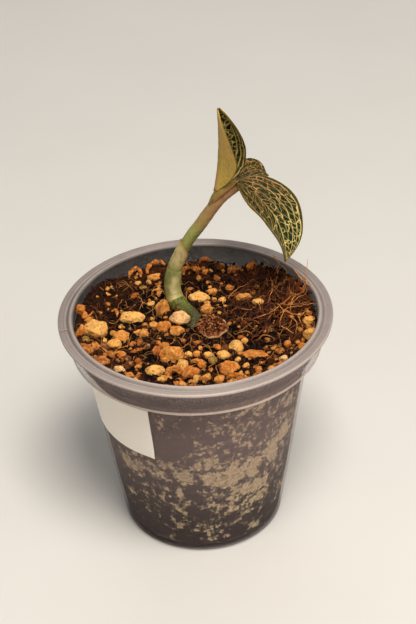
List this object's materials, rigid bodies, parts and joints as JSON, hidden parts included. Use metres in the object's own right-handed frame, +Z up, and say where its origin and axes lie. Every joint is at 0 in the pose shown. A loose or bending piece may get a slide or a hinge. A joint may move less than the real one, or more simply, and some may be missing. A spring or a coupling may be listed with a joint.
{
  "type": "potted jewel orchid",
  "caption": "Young jewel orchid with gold-netted dark leaves on a leaning fleshy stem, rooted in gritty peat in a frosted clear tapered plastic pot with a blank label.",
  "frame": {"origin": "middle of the pot's base, on the surface that it stands on", "axes": "+Z up; front -Y, with the label on the front left (-X) and the leaves leaning to +X"},
  "size_m": [0.09, 0.09, 0.1473],
  "materials": {
    "pot_plastic": "frosted, translucent, slightly grey",
    "peat": "damp fibrous peat with tan porous grit and red-brown roots",
    "bark": "shrivelled, matte",
    "stem_skin": "fleshy, satin, pale green to red-brown",
    "leaf_green": "velvety, dark green with a gold net of veins",
    "label_paper": "plain white sticker, slightly satin"
  },
  "bodies": {
    "root": {"pot": "pot_plastic", "soil": "peat", "bark_piece": "bark", "stem": "stem_skin", "leaf_upright": "leaf_green", "leaf_drooping": "leaf_green", "leaf_back": "leaf_green", "label": "label_paper"}
  },
  "joints": []
}
